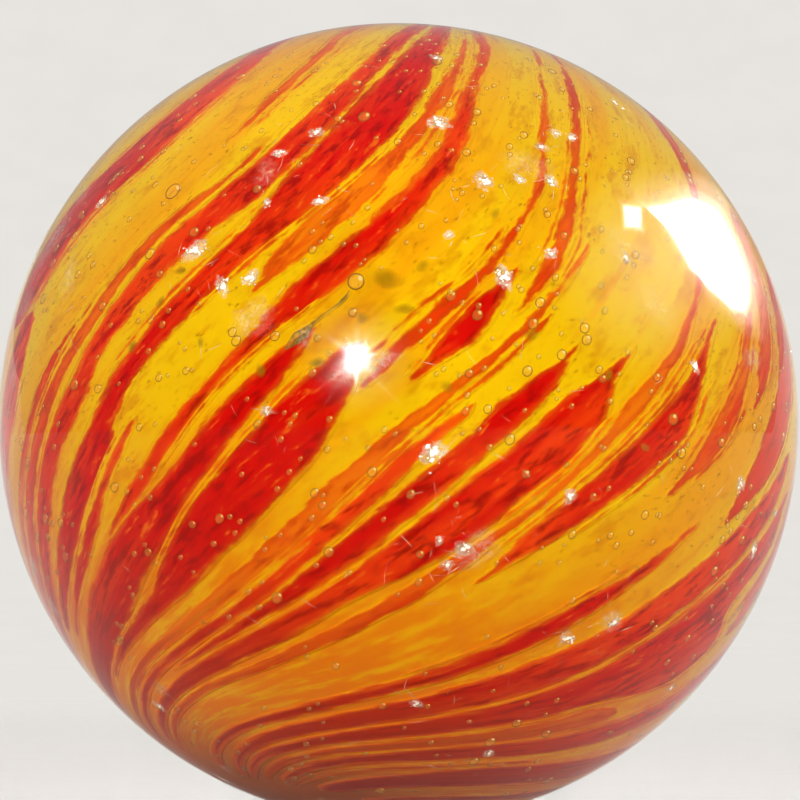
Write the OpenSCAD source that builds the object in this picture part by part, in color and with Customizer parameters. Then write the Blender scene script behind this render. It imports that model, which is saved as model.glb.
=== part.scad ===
// A handmade glass marble. A yellow glass core carries red and orange glass ribbons that were twisted
// while soft, so they wind from one pole to the other. Clear glass with air seeds in it covers them.
// The origin is the centre of the ball and +Z is up. -Y is the side that the swirl is described from.

/* [Ball] */
// Diameter of the whole ball, mm
ball_d = 20; // [14:0.5:30]
// Thickness of the clear glass over the colours, mm
casing_t = 0.8; // [0.6:0.05:1.6]

/* [Ribbons] */
// Depth that a red ribbon reaches into the core, mm
red_t = 0.5; // [0.3:0.05:1]
// Depth that an orange ribbon reaches into the core, mm
orange_t = 0.3; // [0.2:0.05:1]

/* [Swirl] */
// Lean of the swirl's axis: its lower pole goes to the left, degrees
axis_lean = 14; // [-45:1:45]
// Nod of the swirl's axis: its lower pole comes forward, degrees
axis_nod = 5; // [-30:1:30]
// Gentle twist of the ribbons between the poles, degrees each way
gentle_twist = 40; // [0:1:60]
// Sharp twist near the lower pole, where the cane was wrung off, degrees
hook_twist = 112; // [0:1:140]
// Height angle above the lower pole at which the sharp twist is half done, degrees
hook_height = 26; // [20:1:40]
// Spread of the sharp twist along the height angle, degrees
hook_spread = 10; // [8:1:14]
// How far the upper pole is pushed to the right, as a share of the radius
upper_right = -0.12; // [-0.3:0.01:0.3]
// How far the upper pole is pushed to the back, as a share of the radius
upper_back = 0.25; // [-0.3:0.01:0.3]

/* [Wear and seeds] */
// Diameter of a large air seed, mm
seed_d = 0.36; // [0.1:0.02:0.4]
// Diameter of a small air seed, mm
small_seed_d = 0.2; // [0.1:0.02:0.4]
// Depth of the glass over a seed's centre, mm
seed_depth = 0.4; // [0.3:0.05:0.4]
// Depth of a nick in the surface, mm
nick_depth = 0.05; // [0.02:0.01:0.12]

/* [Hidden] */
$fn = 256;
// Facets round a seed and round the sphere that cuts a nick
seed_fn = 24;
nick_fn = 96;

ball_r = ball_d / 2;
core_r = ball_r - casing_t;
// How much slower light goes in the glass than in air
glass_ior = 1.5;
// The cutters of the ribbons end outside the core, so that its own sphere trims them
cutter_r = core_r * 1.06;
// One step of a ribbon climbs and turns no more than this, degrees
step_climb = 10;
step_turn = 13;

// Each ribbon is a list of stations from the upper pole down: [height angle, left edge, right edge].
// The edges are degrees round the axis at the equator, to the right of the front, before the twist.
RED = [
    [[150, -100, -89], [140, -91, -80], [130, -88, -77], [118, -88, -76], [108, -92, -78.5], [98, -91, -79],
     [92, -88, -80]],
    [[89, -80, -74], [84, -79, -71], [78, -78, -68.5], [70, -78, -68], [60, -75, -66.5], [48, -70, -62],
     [36, -66, -57]],
    [[170, -60, -47], [158, -54.5, -46.4], [140, -52.3, -46.2], [122, -53, -46.2], [114, -53.7, -46.8],
     [106, -55.2, -49], [98, -55, -50], [88, -53.7, -49.6], [78, -52.2, -46.5], [70, -51.5, -46.4],
     [60, -49.6, -44.4], [50, -47, -41.5], [40, -46, -37.5], [28, -43, -32], [16, -40, -30]],
    [[170, -46, -34], [158, -45.6, -37], [148, -45.6, -36], [130, -45.6, -34.4], [120, -45.6, -35.6],
     [114, -44.6, -37], [106, -44, -38.8], [96, -44.6, -39.7], [84, -43.5, -39.3], [77, -42.4, -37.5],
     [73, -42, -35], [64, -41, -33.8], [54, -39.4, -33.6], [46, -38.6, -34]],
    [[75, -34.2, -33], [66, -33, -30.8], [58, -31.9, -28.6], [50, -31.2, -28], [45, -30.6, -28.6]],
    [[164, -30, -24], [150, -28, -24.5], [140, -28, -25], [132, -26.8, -22.5], [124, -26, -21.5],
     [114, -27, -21.6], [108, -27.9, -22], [101, -28.5, -23], [94, -27.6, -24.6], [84, -27, -24.7],
     [74, -26.8, -23.7], [66, -26.2, -23.2], [61, -25.8, -24.6]],
    [[94, -20.2, -19.2], [90, -21.4, -17.5], [80, -21.3, -15.8], [70, -21.1, -14.4], [60, -24, -12.8],
     [52, -25, -11.4], [45, -24, -8.8], [38, -23, -8.6], [30, -22, -10], [20, -18, -8]],
    [[93, -13.4, -10.5], [88, -14.3, -6.5], [80, -13.7, -2.8], [72, -13.2, -1], [62, -12, -0.3],
     [55, -9.8, -0.5], [50, -7.4, -0.8], [43, -7, -2.2], [37, -6.6, -4.4]],
    [[110, -2.6, -1.2], [106, -3.4, 0.1], [101, -3.3, 1.4], [97, -2.4, 0.8], [94, -1.3, -0.4]],
    [[88, 9.2, 10.8], [82, 8.2, 11.2], [72, 8.8, 12.2], [62, 9.7, 13.3], [54, 9.9, 14], [45, 10, 14.4],
     [36, 10, 15.4], [26, 10.4, 17.4], [16, 12, 19]],
    [[101, 14.8, 15.8], [97, 14, 17.3], [90, 13.2, 18.6], [85, 14.2, 18.3], [79, 13.9, 19], [70, 14.1, 19.3],
     [62, 14.4, 19.3], [54, 14.9, 18.9], [46, 15.4, 18.6], [40, 16.4, 18.4]],
    [[103, 23.4, 24.3], [99, 22.3, 25], [95, 20.6, 28], [88, 20.6, 29.8], [76, 20.8, 30], [66, 20.6, 29.3],
     [56, 20, 26.7], [46, 20, 27.8], [36, 20.8, 29], [26, 22.4, 29.4], [16, 23, 29]],
    [[111, 35.4, 36.3], [105, 36, 38.7], [100, 36.4, 41.5], [95, 36.3, 43.2], [88, 36, 42.8], [80, 36, 41.5],
     [74, 36, 40.3], [67, 38, 39]],
    [[81, 59.2, 59.9], [75, 58.4, 60.3], [68, 56.7, 60.3], [58, 56, 60.7], [48, 55.8, 61.2], [40, 56.8, 62.8],
     [33, 59, 65.6], [25, 60, 67.4], [16, 58, 66]],
    [[96, 72.4, 76], [90, 71, 77.3], [82, 69, 76.6], [75, 67.8, 75.6], [65, 66.8, 75.2], [54, 65.5, 75.8],
     [44, 65.6, 76.6], [34, 68.4, 79.2], [24, 72, 82], [14, 74, 83]],
    [[91, 80.6, 82.6], [85, 79.4, 86], [77, 78, 86.3], [73, 77.4, 88], [69, 77, 94], [62, 76.7, 96.5],
     [57, 76.6, 95], [53, 76.6, 90], [43, 77.4, 89.7], [34, 80.3, 90.6], [24, 83.2, 92.6], [14, 84.4, 92]],
    [[82, 106, 109], [70, 105, 112], [56, 104, 112.4], [45, 102, 112], [35, 101.6, 112.4], [25, 104, 114],
     [15, 106, 116]],
    [[49, 125, 131], [42, 122, 139], [33, 121.4, 140], [24, 127, 145], [15, 131, 148]],
    [[168, 74, 84], [150, 80, 88], [134, 82, 91], [120, 86, 94], [110, 89, 95], [103, 91.6, 93.6]],
    [[172, 106, 124], [150, 112, 124], [130, 113, 127], [112, 115, 126], [98, 118, 124], [91, 120, 121.6]],
    [[160, 134, 140], [140, 133, 142], [122, 131, 143], [106, 130, 141], [90, 127.4, 138], [72, 128, 136],
     [62, 130.4, 133.6]],
    [[172, 154, 172], [146, 160, 172], [125, 162, 173], [105, 161, 170], [92, 160, 166], [84, 161.4, 163]],
    [[88, 153, 156], [76, 151, 160], [62, 150, 162], [48, 149, 161], [36, 151, 160], [26, 156, 164],
     [16, 160, 170]],
    [[170, 180, 194], [150, 186, 197], [132, 188, 199], [115, 189, 197], [104, 190.6, 193.6]],
    [[98, 189, 191.6], [84, 186, 197], [70, 184, 197], [56, 182, 194], [42, 181, 191.6], [28, 179, 189],
     [16, 179, 190]],
    [[168, 214, 228], [142, 220, 232], [120, 221, 233], [104, 221, 230], [92, 220, 227], [80, 219.4, 222]],
    [[86, 237, 239.6], [72, 232, 243], [58, 229, 241], [44, 226, 238], [30, 222, 233], [18, 220, 231]],
    [[66, 257, 260], [54, 250, 262], [42, 246, 260], [30, 242.6, 255], [18, 240, 250]],
    [[54, 279, 283], [46, 276, 285], [36, 273, 284], [26, 270, 281], [16, 268, 280]],
];
ORANGE = [
    [[160, -78, -70], [150, -71, -66], [145, -67.4, -63.5], [138, -65.2, -62.5], [130, -63.5, -61.7],
     [125, -62.6, -61.9]],
    [[120, -55.1, -54.5], [115, -56, -54.7], [110, -58, -56], [104, -59, -56.6], [95, -58.8, -56.2],
     [88, -58, -55.4], [80, -57.6, -54.8], [70, -56.6, -53], [60, -55.6, -51.6], [50, -54, -48.6],
     [38, -53.4, -48.4]],
    [[88, -60.6, -59.9], [82, -61.5, -59], [74, -60.4, -58.4], [64, -60, -57.4], [54, -59.4, -56.4]],
    [[160, -33.4, -30.9], [146, -33, -30.2], [136, -32.7, -29.7], [126, -33, -29.5], [118, -35, -30],
     [110, -36.2, -31], [105, -36, -31.7], [101.5, -33.8, -32.6]],
    [[160, -7, -3], [156, -9, -6.3], [150, -11.5, -9.6], [144, -12, -10.1], [135, -10.8, -9.1],
     [126, -8, -6.5], [118, -6.5, -5.3], [110, -6.6, -5.1], [103, -8, -5], [97, -7.8, -5.5], [91, -6, -5.3]],
    [[159, 1, 5], [152, -2.6, -0.5], [145, -5, -2.1], [138, -4.6, -2.2], [130, -3, -1.2], [124, -1.2, 0.4],
     [119, 0, 2.8], [113, 1.4, 4], [107.5, 3, 3.7]],
    [[116, 5.8, 6.3], [105, 5.8, 6.9], [92, 5, 6.4], [84, 4, 6.3], [75, 3.8, 7.5], [65, 4.2, 8.5],
     [50, 4.7, 8.9], [40, 4, 8.4], [28, 3, 8.4], [16, 3, 9]],
    [[150, 27, 31], [142, 23.6, 29], [135, 24.6, 28], [126, 27, 29.2], [114, 29.4, 30.5], [107, 30.2, 32.3],
     [100, 29.9, 32.7], [92, 31, 32.9], [84, 32.2, 33.3], [76, 32.3, 33.5], [68, 31.2, 34], [56, 31, 34.5],
     [44, 31, 35], [32, 31.4, 36], [18, 32, 38]],
    [[114, 43.6, 45.4], [108, 46, 48.6], [100, 47, 51.6], [94, 48, 51.9], [88, 49, 50]],
    [[130, 41, 45], [122, 45, 49.4], [115, 49, 53], [109, 51.6, 55.4], [104.5, 54, 55.4]],
    [[122, 54, 59], [114, 58, 65.4], [106, 60.5, 69], [98, 61.3, 70], [92, 63, 69], [87, 64.8, 66.4]],
    [[95, 85, 90], [85, 88.6, 95], [77, 90.6, 98], [73, 95, 98]],
    [[50, 92, 99.6], [38, 92.4, 100], [26, 95, 102], [15, 96, 103]],
    [[36, 116, 118.4], [24, 118.6, 122], [14, 121, 125]],
    [[160, 97, 101], [140, 99, 103], [120, 101, 104], [100, 102.6, 105.4], [90, 104, 105.2]],
    [[97, 110, 112.6], [86, 112.6, 116.4], [74, 115, 118], [64, 117, 118.4]],
    [[150, 148, 151], [125, 149, 153], [100, 147.6, 151.4], [82, 144.6, 148.6], [66, 142.6, 146.6],
     [54, 143, 145.4]],
    [[120, 178, 181], [100, 176, 181], [80, 172, 179], [60, 170, 176], [45, 169, 174], [30, 169, 174]],
    [[155, 205, 209], [130, 207, 211], [105, 206, 210], [85, 205, 209], [70, 203.6, 206]],
    [[75, 213.6, 216], [60, 210, 217], [48, 207, 214], [34, 204.6, 211], [20, 202, 209]],
    [[150, 239, 242], [125, 240, 244], [105, 241, 244.5], [91, 242, 243.4]],
    [[80, 263, 265], [66, 267.6, 271], [52, 268, 273], [40, 264.6, 269], [28, 261, 266]],
];
// Air seeds: [right, up] of each one's centre as seen from the front, mm
LARGE_SEEDS = [[-1.05, 3.5], [-5.6, 5.75], [4.6, 2.35], [4.65, 1.98], [-0.85, 7.6], [5.05, 1.1]];
SMALL_SEEDS = [
    [-4.1, 2.25], [-3.05, 2.15], [-7.35, 2.9], [-8.05, 0.95], [-7.45, 0.85], [4.35, 6.25], [1.68, 6.7],
    [2.75, 6.85], [1.25, 7.9], [-6.2, -3.2], [6.8, 0.1], [2.75, -0.4], [-1.5, 7.55], [-0.65, -1.2],
    [3.2, 4.9], [-2.2, 0.6], [6.9, -4.4], [-0.5, -6.6], [7.9, -2.2], [-5.1, -0.4], [0.9, -2.9], [3.6, -6.9],
];
// Nicks in the outer surface: [right, up, width] as seen from the front, mm
NICKS = [
    [-5.05, 4.3, 0.7], [2.1, 6.0, 0.55], [3.8, 6.8, 0.5], [3.78, 4.2, 0.4], [2.6, 3.62, 0.65], [5.8, 5.1, 0.6],
    [0.85, -0.72, 0.8], [1.6, -3.1, 0.45], [0.95, -2.9, 0.35], [0.4, -7.0, 0.35], [8.5, -1.5, 0.5],
    [8.85, -3.2, 0.5], [4.2, -5.35, 0.5], [5.35, -4.95, 0.45], [1.0, 7.45, 0.6], [-3.3, 0.3, 0.4],
];

// Turn of the ribbons about the swirl's axis at a height angle
function turn_at(height) =
    gentle_twist * cos(height) + hook_twist / (1 + exp((height - hook_height) / hook_spread));

// A place on the ball by its height angle and its angle round the swirl's upright axis, with a radius of 1
function upright_place(height, round) =
    let (
        angle = round - turn_at(height),
        level = -cos(height),
        push = pow(max(0, level), 2),
        place = [
            sin(height) * sin(angle) + upper_right * push,
            -sin(height) * cos(angle) + upper_back * push,
            level
        ]
    )
    place / norm(place);

// The same place once the swirl's axis nods and leans
function nodded(place) = [
    place[0],
    place[1] * cos(axis_nod) + place[2] * sin(axis_nod),
    place[2] * cos(axis_nod) - place[1] * sin(axis_nod)
];
function leaned(place) = [
    place[0] * cos(axis_lean) + place[2] * sin(axis_lean),
    place[1],
    place[2] * cos(axis_lean) - place[0] * sin(axis_lean)
];

// Clear glass bends the view from the front, so what shows at a place on the ball's surface
// lies a little further from the front on a sphere inside it. The shift fades towards the back.
function bend(from_front, radius) =
    let (slant = sin(min(from_front, 90)) / glass_ior)
    (asin(slant * ball_r / radius) - asin(slant)) * min(1, (180 - from_front) / 90);
function behind_glass(place, radius) =
    let (
        from_front = acos(-place[1]),
        moved = from_front + bend(from_front, radius),
        sideways = norm([place[0], place[2]])
    )
    sideways == 0
        ? radius * place
        : radius * [place[0] * sin(moved) / sideways, -cos(moved), place[2] * sin(moved) / sideways];

// A point of a ribbon on a sphere of the given radius
function swirl_point(height, round, radius) = radius * leaned(nodded(upright_place(height, round)));

// The place on the ball's surface, with a radius of 1, that shows at a distance right and up of its centre
function front_place(right, up) = [right, -sqrt(ball_r * ball_r - right * right - up * up), up] / ball_r;

// The stations of a ribbon with steps between them that are short enough for the twist
function ribbon_steps(stations) = [
    for (i = [0 : len(stations) - 2])
        let (
            a = stations[i],
            b = stations[i + 1],
            climb = abs(a[0] - b[0]) / step_climb,
            turn = abs(turn_at(a[0]) - turn_at(b[0])) / step_turn,
            count = ceil(max(climb, turn))
        )
        for (k = [0 : count - 1]) a + (b - a) * k / count,
    stations[len(stations) - 1]
];

// One ribbon as a solid that follows the twist, from its floor in the core to beyond the core's surface
module ribbon_cutter(stations, depth) {
    steps = ribbon_steps(stations);
    last = len(steps) - 1;
    points = [
        for (s = steps)
            each [
                swirl_point(s[0], s[1], core_r - depth),
                swirl_point(s[0], s[2], core_r - depth),
                swirl_point(s[0], s[2], cutter_r),
                swirl_point(s[0], s[1], cutter_r)
            ]
    ];
    sides = [
        for (i = [0 : last - 1], side = [0 : 3])
            let (
                a = 4 * i + side,
                b = 4 * i + (side + 1) % 4
            )
            each [[a, b + 4, b], [a, a + 4, b + 4]]
    ];
    e = 4 * last;
    ends = [[0, 1, 2], [0, 2, 3], [e, e + 2, e + 1], [e, e + 3, e + 2]];
    polyhedron(points, concat(sides, ends), convexity = 6);
}

// All the ribbons of one colour
module ribbon_cutters(ribbons, depth) {
    for (stations = ribbons)
        ribbon_cutter(stations, depth);
}

// The whole coloured ball, before its colours are told apart. Its own poles face the front and the back,
// clear of the ends of the ribbons.
module core_ball() {
    rotate([90, 0, 0])
        sphere(r = core_r);
}

// Yellow glass, with a groove for each ribbon
module yellow_core() {
    color("#FFC20A")
        difference() {
            core_ball();
            ribbon_cutters(RED, red_t);
            ribbon_cutters(ORANGE, orange_t);
        }
}

// Red glass ribbons, flush with the core
module red_ribbons() {
    color("#D4200A")
        intersection() {
            core_ball();
            ribbon_cutters(RED, red_t);
        }
}

// Orange glass ribbons, thinner than the red ones, flush with the core
module orange_ribbons() {
    color("#F26A10")
        intersection() {
            core_ball();
            ribbon_cutters(ORANGE, orange_t);
        }
}

// A round air seed in the clear glass
module seed(place, diameter) {
    translate(behind_glass(front_place(place[0], place[1]), ball_r - seed_depth))
        sphere(d = diameter, $fn = seed_fn);
}

// A shallow round nick: a sphere that dips into the surface
module nick(right, up, width) {
    dip_r = (pow(width / 2, 2) + pow(nick_depth, 2)) / (2 * nick_depth);
    translate(front_place(right, up) * (ball_r + dip_r - nick_depth))
        sphere(r = dip_r, $fn = nick_fn);
}

// Clear glass all round the core, with its seeds and nicks
module clear_casing() {
    color("#F4F8F2", 0.3)
        difference() {
            sphere(r = ball_r);
            core_ball();
            for (place = LARGE_SEEDS)
                seed(place, seed_d);
            for (place = SMALL_SEEDS)
                seed(place, small_seed_d);
            for (place = NICKS)
                nick(place[0], place[1], place[2]);
        }
}

clear_casing();
yellow_core();
red_ribbons();
orange_ribbons();
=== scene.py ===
import math
import random

import bpy
import numpy as np
from mathutils import Matrix, Vector, noise


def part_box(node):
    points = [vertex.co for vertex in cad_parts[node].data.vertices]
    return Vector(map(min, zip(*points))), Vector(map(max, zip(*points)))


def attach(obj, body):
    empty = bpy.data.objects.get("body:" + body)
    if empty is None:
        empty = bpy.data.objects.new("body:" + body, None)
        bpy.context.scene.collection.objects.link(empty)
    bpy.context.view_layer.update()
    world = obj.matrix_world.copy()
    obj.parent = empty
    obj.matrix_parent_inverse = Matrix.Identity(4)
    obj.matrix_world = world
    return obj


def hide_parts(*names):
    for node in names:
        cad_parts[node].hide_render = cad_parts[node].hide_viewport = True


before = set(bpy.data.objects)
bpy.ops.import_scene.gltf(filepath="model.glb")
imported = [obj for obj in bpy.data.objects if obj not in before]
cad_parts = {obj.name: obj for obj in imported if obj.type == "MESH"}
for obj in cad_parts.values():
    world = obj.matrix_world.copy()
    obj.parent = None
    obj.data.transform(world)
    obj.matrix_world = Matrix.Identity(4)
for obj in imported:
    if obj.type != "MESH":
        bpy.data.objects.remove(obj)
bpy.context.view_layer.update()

# The yellow core
# A gather of opaque yellow glass, made a ball on the end of a rod. Its stripes were laid on as straight
# cane and twisted while soft, hard at the lower pole where the rod was wrung off. The law of that twist is
# here, because the ribbons and the threads follow it too.
MM = 0.001
BALL_R = (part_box("clear_casing")[1].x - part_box("clear_casing")[0].x) / 2 / MM
CORE_R = round(max(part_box("yellow_core")[1]) / MM, 1)
# The twist in degrees: an even one from pole to pole, and a hook of it round the lower pole
GENTLE_TWIST = 40
HOOK_TWIST = 112
HOOK_HEIGHT = 26
HOOK_SPREAD = 10
# How far the upper pole was pushed over, as a share of the radius, and how the whole swirl leans
UPPER_RIGHT = -0.12
UPPER_BACK = 0.25
SWIRL_TILT = Matrix.Rotation(math.radians(14), 3, "Y") @ Matrix.Rotation(math.radians(-5), 3, "X")
# The untwisted cane that the patterns run along: its radius and its length in millimetres
CANE_R = 10
CANE_LENGTH = 31.4
CORE_SEGMENTS = 240
CORE_RINGS = 150


def turn_at(height):
    """Degrees that the glass was turned at a height angle: 0 is the lower pole and 180 the upper."""
    wrung = HOOK_TWIST / (1 + math.exp((height - HOOK_HEIGHT) / HOOK_SPREAD))
    return GENTLE_TWIST * math.cos(math.radians(height)) + wrung


def swirl_point(height, turn, radius):
    """A point at a height angle and an angle round the cane, in millimetres, after the twist."""
    climb = math.radians(height)
    angle = math.radians(turn - turn_at(height))
    level = -math.cos(climb)
    push = max(0, level) ** 2
    place = Vector((
        math.sin(climb) * math.sin(angle) + UPPER_RIGHT * push,
        -math.sin(climb) * math.cos(angle) + UPPER_BACK * push,
        level,
    ))
    return SWIRL_TILT @ place.normalized() * radius


def cane_place(height, turn, width=1.0):
    """The same place on the straight cane, in millimetres, where a pattern runs along z."""
    angle = math.radians(turn)
    return (
        CANE_R * width * math.sin(angle),
        -CANE_R * width * math.cos(angle),
        CANE_LENGTH * height / 180,
    )


def give_attribute(mesh, name, kind, values):
    """Writes one value or vector a vertex, for the materials to read."""
    attribute = mesh.attributes.new(name, kind, "POINT")
    field = "vector" if kind == "FLOAT_VECTOR" else "value"
    attribute.data.foreach_set(field, np.array(values, np.float32).ravel())


def select_only(pieces):
    """Selects pieces and nothing else, with the first one active."""
    bpy.ops.object.select_all(action="DESELECT")
    for piece in pieces:
        piece.select_set(True)
    bpy.context.view_layer.objects.active = pieces[0]


def smooth_all(piece):
    """Shades a piece smooth all over."""
    select_only([piece])
    bpy.ops.object.shade_smooth()


bpy.ops.object.select_all(action="DESELECT")
bpy.ops.mesh.primitive_uv_sphere_add(segments=CORE_SEGMENTS, ring_count=CORE_RINGS, radius=CORE_R)
core = bpy.context.active_object
core.name = "yellow_core_glass"
core_heights, core_turns, core_canes = [], [], []
for vertex in core.data.vertices:
    height = math.degrees(math.acos(max(-1, min(1, -vertex.co.z / CORE_R))))
    turn = math.degrees(math.atan2(vertex.co.x, -vertex.co.y))
    at_pole = min(height, 180 - height) < 0.1
    core_heights.append(height)
    core_turns.append(turn)
    core_canes.append(cane_place(height, turn, 0 if at_pole else 1))
    vertex.co = swirl_point(height, turn, CORE_R) * MM
give_attribute(core.data, "cane", "FLOAT_VECTOR", core_canes)
core_heights = np.array(core_heights)
core_turns = np.array(core_turns)
smooth_all(core)

# The sockets that a colour mix node has
MIX_FACTOR, MIX_A, MIX_B, MIX_RESULT = 0, 6, 7, 2


def hex_colour(code):
    """An sRGB hex value as a linear colour with full opacity."""
    parts = [int(code[i : i + 2], 16) / 255 for i in (1, 3, 5)]
    return [c / 12.92 if c <= 0.04045 else ((c + 0.055) / 1.055) ** 2.4 for c in parts] + [1]


def add_node(tree, kind, settings=None, inputs=None):
    """Adds a node with its settings, and sets or links its inputs."""
    node = tree.nodes.new(kind)
    for name, value in (settings or {}).items():
        setattr(node, name, value)
    for name, value in (inputs or {}).items():
        if isinstance(value, bpy.types.NodeSocket):
            tree.links.new(value, node.inputs[name])
        else:
            node.inputs[name].default_value = value
    return node


def new_material(name):
    """An empty material, its node tree and its output node."""
    material = bpy.data.materials.new(name)
    material.use_nodes = True
    tree = material.node_tree
    tree.nodes.clear()
    return material, tree, add_node(tree, "ShaderNodeOutputMaterial")


def drawn_grain(tree, place, stretch, settings):
    """An uneven grain. A stretch of 0.1 draws it out along z to ten times its width, and 1 leaves it."""
    way = add_node(tree, "ShaderNodeVectorMath", {"operation": "MULTIPLY"}, {0: place, 1: (1, 1, stretch)})
    return add_node(tree, "ShaderNodeTexNoise", None, {"Vector": way.outputs[0], **settings}).outputs[0]


def lay_colours(tree, colour, layers, blend="SMOOTHSTEP"):
    """Lays colours over a colour, one after the other. A layer is the value that places it, the values
    where it begins and where it is full, its most, and its colour."""
    for value, begins, full, most, code in layers:
        share = add_node(
            tree, "ShaderNodeMapRange", {"interpolation_type": blend},
            {"Value": value, "From Min": begins, "From Max": full, "To Max": most},
        )
        laid = add_node(
            tree, "ShaderNodeMix", {"data_type": "RGBA"},
            {MIX_FACTOR: share.outputs[0], MIX_A: colour, MIX_B: hex_colour(code)},
        )
        colour = laid.outputs[MIX_RESULT]
    return colour


def add_yellow_pattern(tree, cane):
    """Cadmium yellow glass as it is on the ball: cloudy and threaded, with painted shade that makes it
    amber and then brown towards the lower pole.
    """
    cloud = drawn_grain(tree, cane, 0.14, {"Scale": 0.4, "Detail": 3})
    thread = drawn_grain(tree, cane, 0.05, {"Scale": 2.6, "Detail": 3, "Roughness": 0.6})
    stain = drawn_grain(tree, cane, 0.6, {"Scale": 1.6, "Detail": 5, "Roughness": 0.72})
    ash = drawn_grain(tree, cane, 1, {"Scale": 7, "Detail": 2, "Roughness": 0.6})
    layers = [
        (cloud, 0.34, 0.56, 1, "#FFD400"),
        # Threads of orange about 0.2 mm wide that run the whole way along
        (thread, 0.58, 0.72, 0.4, "#FF8A00"),
        # Amber stains, 0.3 to 1.5 mm long
        (stain, 0.5, 0.66, 0.6, "#E49000"),
    ]
    colour = lay_colours(tree, hex_colour("#FFB600"), layers)
    # Brown specks of ash, 0.05 to 0.1 mm
    colour = lay_colours(tree, colour, [(ash, 0.62, 0.74, 0.75, "#B87000")], "LINEAR")
    # Painted shade: amber and then brown towards the lower pole, in patches where the stains are
    along = add_node(tree, "ShaderNodeSeparateXYZ", None, {0: cane}).outputs[2]
    painted_shade_patches = add_node(
        tree, "ShaderNodeMapRange", {"interpolation_type": "SMOOTHSTEP"},
        {"Value": stain, "From Min": 0.36, "From Max": 0.56, "To Min": 0.4},
    )
    layers = [
        (along, CANE_LENGTH * 0.5, CANE_LENGTH * 0.24, painted_shade_patches.outputs[0], "#F88A00"),
        (along, CANE_LENGTH * 0.18, CANE_LENGTH * 0.06, 0.85, "#BC5600"),
    ]
    return lay_colours(tree, colour, layers)


def cadmium_yellow_glass():
    """Opaque soda glass coloured with cadmium: a warm even yellow with no gloss of its own."""
    material, tree, output = new_material("cadmium_yellow_glass")
    cane = add_node(tree, "ShaderNodeAttribute", {"attribute_name": "cane"}).outputs["Vector"]
    surface = add_node(
        tree, "ShaderNodeBsdfPrincipled", None,
        {"Base Color": add_yellow_pattern(tree, cane), "Roughness": 0.5, "Specular IOR Level": 0.0},
    )
    tree.links.new(surface.outputs[0], output.inputs["Surface"])
    return material


core.data.materials.append(cadmium_yellow_glass())
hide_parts("yellow_core")
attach(core, "root")

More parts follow.
